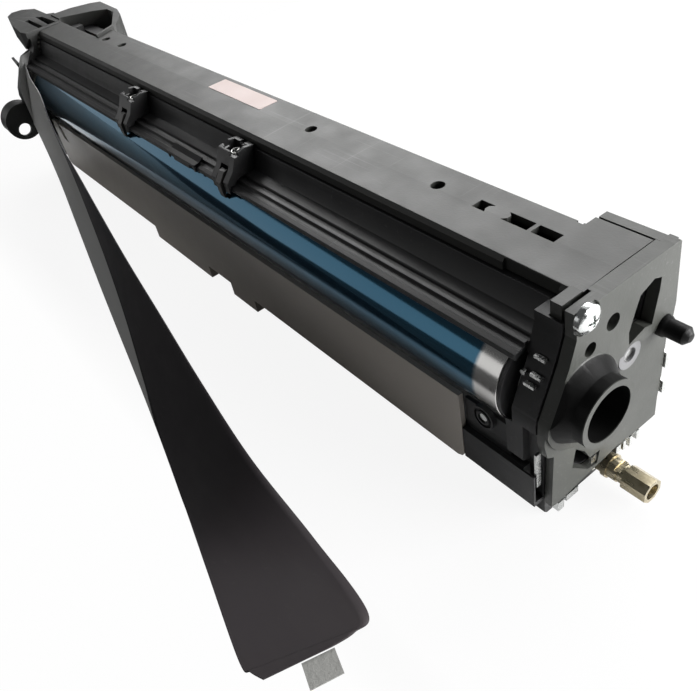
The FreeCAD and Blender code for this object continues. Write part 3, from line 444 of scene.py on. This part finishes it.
def sheetFace(look):
    # dark charcoal film, browner towards the near end; below the fold and on the far-end flap it has a
    # painted light grey where the folded part would catch the light, and a painted dark shade line runs
    # along the fold
    material, tree, shader = newMaterial("sheetBlack")
    along = tree.nodes.new("ShaderNodeAttribute")
    along.attribute_name = "along"
    pale = tree.nodes.new("ShaderNodeAttribute")
    pale.attribute_name = "pale"
    mould = useGroup(tree, "grain", Grain=look["grain"], Flow=look["flow"])
    dusty = useGroup(tree, "dust", Amount=look["dust"])
    body = addMix(tree, addRange(tree, along.outputs["Fac"], *look["darkSpan"]), *look["dark"])
    flow = addMath(tree, "MULTIPLY", mould.outputs["Tone"], look["flowShare"])
    body = addMix(tree, flow, body, look["flowColour"])
    # painted shade: a near-black line along the fold, from partway along the sheet
    creaseShade = addMath(tree, "MULTIPLY", addRange(tree, pale.outputs["Fac"], *look["creaseShadeSpan"]),
                   addRange(tree, along.outputs["Fac"], *look["creaseShadeStart"]))
    body = addMix(tree, creaseShade, body, look["creaseShadeColour"])
    # painted light: light grey below the fold line and on the flap
    paintedLight = addMix(tree, mould.outputs["Tone"], *look["paintedLight"])
    body = addMix(tree, addRange(tree, pale.outputs["Fac"], *look["paintedLightSpan"]), body, paintedLight)
    body = addMix(tree, dusty.outputs["Mask"], body, look["dustColour"])
    tree.links.new(body, shader.inputs["Base Color"])
    gloss = addRange(tree, mould.outputs["Gloss"], 0.0, 1.0, *look["rough"])
    tree.links.new(gloss, shader.inputs["Roughness"])
    shader.inputs["Specular IOR Level"].default_value = look["specular"]
    addBump(tree, shader, mould.outputs["Height"], look["depth"])
    return material


coatingLook = {
    "teal": ((0.030, 0.130, 0.215), (0.040, 0.150, 0.240)), "aluminium": (0.80, 0.79, 0.77),
    "edge": (-0.0318, -0.0304), "ragged": (130.0, 4.0, 0.65), "raggedDepth": 0.0022,  # in metres
    "slow": (18.0, 3.0, 0.5, (0.5, 1.0, 1.0)), "slowSpan": (0.35, 0.7),
    "fine": (700.0, 2.0, 0.5, (1.0, 0.15, 0.15)), "fineRough": 0.05,
    # coated, bare
    "metallic": (0.92, 1.0), "rough": (0.10, 0.16), "coat": (0.55, 0.0),
    "coatRough": 0.05,
}


def drumCoating(look):
    # teal coating over bright aluminium; the coating ends unevenly near the right end
    material, tree, shader = newMaterial("drumCoating")
    coords = tree.nodes.new("ShaderNodeTexCoord").outputs["Object"]
    parts = tree.nodes.new("ShaderNodeSeparateXYZ")
    tree.links.new(coords, parts.inputs[0])
    ragged = addMath(tree, "MULTIPLY", addNoise(tree, coords, *look["ragged"]), look["raggedDepth"])
    bare = addRange(tree, addMath(tree, "ADD", parts.outputs["X"], ragged), *look["edge"])
    slow = addRange(tree, addNoise(tree, coords, *look["slow"]), *look["slowSpan"])
    teal = addMix(tree, slow, *look["teal"])
    tree.links.new(addMix(tree, bare, teal, look["aluminium"]), shader.inputs["Base Color"])
    tree.links.new(addRange(tree, bare, 0.0, 1.0, *look["metallic"]), shader.inputs["Metallic"])
    fine = addMath(tree, "MULTIPLY", addNoise(tree, coords, *look["fine"]), look["fineRough"])
    gloss = addMath(tree, "ADD", addRange(tree, bare, 0.0, 1.0, *look["rough"]), fine)
    tree.links.new(gloss, shader.inputs["Roughness"])
    tree.links.new(addRange(tree, bare, 0.0, 1.0, *look["coat"]), shader.inputs["Coat Weight"])
    shader.inputs["Coat Roughness"].default_value = look["coatRough"]
    return material


capLook = {
    "colour": (0.034, 0.036, 0.031), "rough": 0.44, "grain": 1300.0, "depth": 0.00005, "dust": 0.12,
    "paintedShadeColour": (0.004, 0.004, 0.004), "specular": (0.5, 0.16),  # painted shade colour of the collar and peg; specular of the flat face and the round parts
    # collar and peg: Y, Z, radius and the two X limits in mm
    "rounds": [(0, 0, 13.4, -7.7, -0.3), (32.5, 3.7, 3.4, -8.5, 2)],
}


def capPlastic(look):
    # end cap plastic with painted shade on the collar and peg: a near-black base colour and a lower specular
    # level than the flat face
    material = plastic("capRight", look["colour"], look["rough"], look["grain"], look["depth"], look["dust"])
    tree = material.node_tree
    shader = tree.nodes["Principled BSDF"]
    parts = tree.nodes.new("ShaderNodeSeparateXYZ")
    tree.links.new(tree.nodes.new("ShaderNodeTexCoord").outputs["Object"], parts.inputs[0])
    x = parts.outputs["X"]
    mask = 0.0
    for y, z, radius, low, high in look["rounds"]:
        side = addMath(tree, "SUBTRACT", parts.outputs["Y"], y * mm)
        up = addMath(tree, "SUBTRACT", parts.outputs["Z"], z * mm)
        square = addMath(tree, "ADD", addMath(tree, "MULTIPLY", side, side),
                         addMath(tree, "MULTIPLY", up, up))
        inside = addMath(tree, "LESS_THAN", addMath(tree, "SQRT", square, 0.0), radius * mm)
        inside = addMath(tree, "MULTIPLY", inside, addMath(tree, "GREATER_THAN", x, low * mm))
        inside = addMath(tree, "MULTIPLY", inside, addMath(tree, "LESS_THAN", x, high * mm))
        mask = addMath(tree, "MAXIMUM", inside, mask)
    # painted shade: the collar and peg are coloured near black
    base = shader.inputs["Base Color"].links[0].from_socket
    tree.links.new(addMix(tree, mask, base, look["paintedShadeColour"]), shader.inputs["Base Color"])
    shine = addRange(tree, mask, 0.0, 1.0, *look["specular"])
    tree.links.new(shine, shader.inputs["Specular IOR Level"])
    return material


finishes["sheet_black"] = sheetFace(sheetLook)
finishes["drum_coating"] = drumCoating(coatingLook)
capRight = capPlastic(capLook)
print("finishes ready:", len(finishes))

slotOf = {entry["node"]: entry["material_slot"] for entry in frame["record"]["subparts"]}
bodyOf = {}
for body, names in frame["record"]["behaviour"]["bodies"].items():
    for name in names:
        bodyOf[name] = body


def dress(mesh, material):
    mesh.materials.clear()
    mesh.materials.append(material)


for name, piece in nodes.items():
    dress(piece.data, finishes[slotOf[name]])


def newPiece(name, mesh):
    piece = bpy.data.objects.new(name, mesh)
    scene.collection.objects.link(piece)
    return piece


def finishPiece(piece, node, material):
    # dresses the piece and puts it in the place of its CAD node
    dress(piece.data, material)
    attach(piece, bodyOf[node])
    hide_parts(node)


def meshFrom(bm, name, smoothAngle):
    mesh = bpy.data.meshes.new(name)
    bm.to_mesh(mesh)
    bm.free()
    for face in mesh.polygons:
        face.use_smooth = True
    mesh.set_sharp_from_angle(angle=math.radians(smoothAngle))
    return mesh


def applyModifiers(piece):
    graph = bpy.context.evaluated_depsgraph_get()
    mesh = bpy.data.meshes.new_from_object(piece.evaluated_get(graph), depsgraph=graph)
    piece.modifiers.clear()
    old = piece.data
    piece.data = mesh
    mesh.name = piece.name
    bpy.data.meshes.remove(old)


roundings = {
    # node: edge width in mm
    "main_frame": 0.35, "picker_rail": 0.3, "top_cover": 0.45, "front_plate": 0.3, "lower_rail": 0.3,
    "right_end_cap": 0.4, "left_end_cap": 0.5, "picker_block_left": 0.25, "picker_block_right": 0.25,
    "picker_claw_left": 0.2, "picker_claw_right": 0.2, "rail_clip": 0.15, "coupling_sleeve": 0.15,
    "charge_ring": 0.15, "corner_screw": 0.12, "drum_flange_right": 0.2,
}


edgeLook = {
    "merge": 0.000002, "flatAngle": 0.4, "smoothAngle": 32.0,  # metres and degrees
    "edgeAngle": 35, "segments": 2,
}


def roundedCopy(node, width, look):
    bm = bmesh.new()
    bm.from_mesh(nodes[node].data)
    bmesh.ops.remove_doubles(bm, verts=bm.verts, dist=look["merge"])
    bmesh.ops.dissolve_limit(bm, angle_limit=math.radians(look["flatAngle"]), verts=bm.verts, edges=bm.edges)
    piece = newPiece(node + "_edges", meshFrom(bm, node + "_edges", look["smoothAngle"]))
    finishPiece(piece, node, capRight if node == "right_end_cap" else finishes[slotOf[node]])
    bevel = piece.modifiers.new("edge", "BEVEL")
    bevel.width = width * mm
    bevel.segments = look["segments"]
    bevel.limit_method = "ANGLE"
    bevel.angle_limit = math.radians(look["edgeAngle"])
    bevel.use_clamp_overlap = True
    bevel.miter_outer = "MITER_ARC"
    bevel.harden_normals = True
    applyModifiers(piece)


for node, width in roundings.items():
    roundedCopy(node, width, edgeLook)
print("rounded edges:", len(roundings))

drumSize = {
    # in mm; round and stations are the points around and along the tube
    "radius": 15.0, "wall": 1.0, "left": -372.0, "right": -24.0, "edge": 0.15,
    "round": 256, "stations": 40, "smoothAngle": 40,
}


def makeDrum(size):
    bm = bmesh.new()
    outer, inner, edge = size["radius"], size["radius"] - size["wall"], size["edge"]
    left, right, stations = size["left"], size["right"], size["stations"]
    profile = [(left, inner), (left, outer - edge), (left + edge, outer)]
    profile += [(left + (right - left) * i / stations, outer) for i in range(1, stations)]
    profile += [(right - edge, outer), (right, outer - edge), (right, inner)]
    rows = []
    for x, r in profile:
        turns = [2 * math.pi * k / size["round"] for k in range(size["round"])]
        rows.append([bm.verts.new((x * mm, r * mm * math.cos(a), r * mm * math.sin(a))) for a in turns])
    rows.append(rows[0])
    for near, far in zip(rows, rows[1:]):
        for k in range(size["round"]):
            n = (k + 1) % size["round"]
            bm.faces.new((near[k], near[n], far[n], far[k]))
    bmesh.ops.recalc_face_normals(bm, faces=bm.faces)
    piece = newPiece("drumTubeCoated", meshFrom(bm, "drumTubeCoated", size["smoothAngle"]))
    finishPiece(piece, "drum_tube", finishes["drum_coating"])


makeDrum(drumSize)
print("drum ready")


coilDetail = {"turnPoints": 28, "wirePoints": 10}


def coilTree(detail):
    # a coil of round wire on every point of the mesh it is given
    tree = bpy.data.node_groups.new("coilWire", "GeometryNodeTree")
    keys = {}

    def addInput(word, kind):
        socket = tree.interface.new_socket(name=word, in_out="INPUT", socket_type=kind)
        keys[word] = socket.identifier

    addInput("Seats", "NodeSocketGeometry")
    for word in ("Turns", "Radius", "Height", "Wire", "Tilt"):
        addInput(word, "NodeSocketFloat")
    addInput("Material", "NodeSocketMaterial")
    tree.interface.new_socket(name="Coils", in_out="OUTPUT", socket_type="NodeSocketGeometry")
    start, end = tree.nodes.new("NodeGroupInput"), tree.nodes.new("NodeGroupOutput")
    spiral = tree.nodes.new("GeometryNodeCurveSpiral")
    spiral.inputs["Resolution"].default_value = detail["turnPoints"]
    tree.links.new(start.outputs["Turns"], spiral.inputs["Rotations"])
    tree.links.new(start.outputs["Radius"], spiral.inputs["Start Radius"])
    tree.links.new(start.outputs["Radius"], spiral.inputs["End Radius"])
    tree.links.new(start.outputs["Height"], spiral.inputs["Height"])
    wire = tree.nodes.new("GeometryNodeCurvePrimitiveCircle")
    wire.inputs["Resolution"].default_value = detail["wirePoints"]
    tree.links.new(start.outputs["Wire"], wire.inputs["Radius"])
    body = tree.nodes.new("GeometryNodeCurveToMesh")
    body.inputs["Fill Caps"].default_value = True
    tree.links.new(spiral.outputs[0], body.inputs["Curve"])
    tree.links.new(wire.outputs[0], body.inputs["Profile Curve"])
    tilt = tree.nodes.new("ShaderNodeCombineXYZ")
    tree.links.new(start.outputs["Tilt"], tilt.inputs["X"])
    turn = tree.nodes.new("FunctionNodeEulerToRotation")
    tree.links.new(tilt.outputs[0], turn.inputs[0])
    copies = tree.nodes.new("GeometryNodeInstanceOnPoints")
    tree.links.new(start.outputs["Seats"], copies.inputs["Points"])
    tree.links.new(body.outputs[0], copies.inputs["Instance"])
    tree.links.new(turn.outputs[0], copies.inputs["Rotation"])
    real = tree.nodes.new("GeometryNodeRealizeInstances")
    tree.links.new(copies.outputs[0], real.inputs[0])
    paint = tree.nodes.new("GeometryNodeSetMaterial")
    tree.links.new(real.outputs[0], paint.inputs["Geometry"])
    tree.links.new(start.outputs["Material"], paint.inputs["Material"])
    tree.links.new(paint.outputs[0], end.inputs[0])
    return tree, keys


coils = {
    # node: places of the seats, turns, radius, height, wire, tilt in degrees
    "charge_springs": ([(-378.5, 23.85, 1.35), (-17.0, 23.85, 1.35)], 4, 2.2, 3.8, 0.36, -90),
    "claw_springs": ([(-251.5, -2.4, 20.4), (-164.0, -2.4, 20.4)], 4, 1.6, 4.6, 0.31, 0),
}


def makeCoils(table):
    tree, keys = coilTree(coilDetail)
    for node, (seats, turns, radius, height, wire, tilt) in table.items():
        mesh = bpy.data.meshes.new(node + "_wire")
        mesh.from_pydata([tuple(v * mm for v in seat) for seat in seats], [], [])
        finish = finishes[slotOf[node]]
        piece = newPiece(node + "_wire", mesh)
        coil = piece.modifiers.new("coil", "NODES")
        coil.node_group = tree
        numbers = {"Turns": float(turns), "Radius": radius * mm, "Height": height * mm, "Wire": wire * mm,
                   "Tilt": math.radians(tilt), "Material": finish}
        for word, number in numbers.items():
            coil[keys[word]] = number
        applyModifiers(piece)
        for face in piece.data.polygons:
            face.use_smooth = True
        finishPiece(piece, node, finish)


makeCoils(coils)
print("coils ready:", len(coils))

sheetShape = {
    # stations of the two long edges in mm, far end first
    "upper": [(-383.5, -11.0, 16.3), (-380.4, -11.2, 16.4), (-350.6, -18.5, 18.3), (-320.6, -24.1, 18.2),
              (-290.7, -31.6, 17.4), (-260.6, -38.3, 15.6), (-230.1, -43.6, 12.5), (-199.8, -48.9, 8.2),
              (-169.4, -53.9, 2.4), (-139.2, -58.1, -5.1), (-109.1, -62.1, -14.4), (-79.6, -64.7, -26.6),
              (-54.5, -62.8, -44.8), (-26.7, -65.6, -46.5), (-24.0, -72.1, -46.3), (-24.9, -79.4, -46.0)],
    "lower": [(-383.5, -19.7, -16.5), (-382.7, -19.8, -16.4), (-353.4, -25.6, -18.1), (-324.3, -31.7, -18.4),
              (-295.3, -38.1, -19.3), (-266.5, -44.9, -20.9), (-237.9, -51.7, -23.3), (-209.5, -58.5, -26.7),
              (-181.4, -65.1, -31.4), (-153.7, -71.6, -37.0), (-126.5, -78.3, -43.0), (-99.7, -85.2, -46.5),
              (-71.7, -92.4, -46.5), (-39.7, -100.5, -46.5), (-34.6, -99.9, -46.3), (-30.2, -98.4, -46.0)],
    # share of the width above the fold, and how far the fold lies back in mm
    "folds": [(0.0, 0), (0.0, 0), (0.0, 0), (0.0, 0), (0.02, 0.3), (0.14, 1), (0.44, 2), (0.63, 2.4),
              (0.78, 2), (0.92, 1), (1.02, 0.5), (1.1, 0.2), (1.1, 0), (1.1, 0), (1.1, 0), (1.1, 0)],
    "foldLimits": (0.06, 0.94), "lowest": -46.55,
    # outline in Y and Z of the flap at the far end, its X and its thickness in mm
    "flap": [(-5.1, 21.3), (-9.7, 17.9), (-11.3, 15.6), (-11.3, 12.5), (-13.5, 6), (-17.5, -16),
             (-19.6, -16.7), (-19.5, -13.7), (-19.3, -1.6), (-18.6, 5.2), (-16.1, 11.7), (-13.8, 16.6),
             (-11.5, 20.2)],
    "flapPlace": -383.9, "flapThick": 0.8, "thick": 0.45,
    "steps": 12, "across": 24, "smoothAngle": 60,
    "flatWidth": 37.5, "flatLength": 362.0,
}


def smoothLine(points, steps):
    # a curve through the stations, as evenly parted points
    line = []
    last = len(points) - 1
    for i in range(last):
        p0, p1 = Vector(points[max(i - 1, 0)]), Vector(points[i])
        p2, p3 = Vector(points[i + 1]), Vector(points[min(i + 2, last)])
        for k in range(steps):
            t = k / steps
            line.append(0.5 * (2 * p1 + (p2 - p0) * t + (2 * p0 - 5 * p1 + 4 * p2 - p3) * t * t
                               + (3 * p1 - p0 - 3 * p2 + p3) * t ** 3))
    line.append(Vector(points[-1]))
    return line


def foldBack(down, share, depth):
    # how far a point lies back, at its share of the way down from the upper edge
    return depth * (down / share if down < share else (1 - down) / (1 - share))


def makeSheet(shape):
    upper = smoothLine(shape["upper"], shape["steps"])
    lower = smoothLine(shape["lower"], shape["steps"])
    folds = smoothLine([(share, depth, 0) for share, depth in shape["folds"]], shape["steps"])
    last, across = len(upper) - 1, shape["across"]
    half = across // 2
    bm = bmesh.new()
    alongLayer = bm.verts.layers.float.new("along")
    paleLayer = bm.verts.layers.float.new("pale")
    rows = []
    for i, (top, bottom) in enumerate(zip(upper, lower)):
        ahead = upper[min(i + 1, last)] + lower[min(i + 1, last)]
        behind = upper[max(i - 1, 0)] + lower[max(i - 1, 0)]
        face = (ahead - behind).cross(top - bottom).normalized()
        least, most = shape["foldLimits"]
        share = min(max(folds[i].x, least), most)
        row = []
        for j in range(across + 1):
            down = share * j / half if j <= half else share + (1 - share) * (j - half) / half
            place = top.lerp(bottom, down) - face * foldBack(down, share, folds[i].y)
            place.z = max(place.z, shape["lowest"])
            vert = bm.verts.new(place * mm)
            vert[alongLayer] = i / last
            # which side of the fold the point lies on; the material paints light below the fold and a shade
            # line along it
            vert[paleLayer] = down - folds[i].x
            row.append(vert)
        rows.append(row)
    for near, far in zip(rows, rows[1:]):
        for j in range(across):
            bm.faces.new((near[j + 1], far[j + 1], far[j], near[j]))
    corners = []
    for y, z in shape["flap"]:
        vert = bm.verts.new((shape["flapPlace"] * mm + shape["flapThick"] * mm / 2, y * mm, z * mm))
        # painted light: the whole flap takes the light grey
        vert[paleLayer] = 1.0
        corners.append(vert)
    bm.faces.new(corners)
    bmesh.ops.triangulate(bm, faces=[f for f in bm.faces if len(f.verts) > 4])
    piece = newPiece("peeledSheet", meshFrom(bm, "peeledSheet", shape["smoothAngle"]))
    finishPiece(piece, "protective_sheet", finishes["sheet_black"])
    wall = piece.modifiers.new("wall", "SOLIDIFY")
    wall.thickness = shape["thick"] * mm
    wall.offset = 0.0
    applyModifiers(piece)


makeSheet(sheetShape)
print("sheet ready")
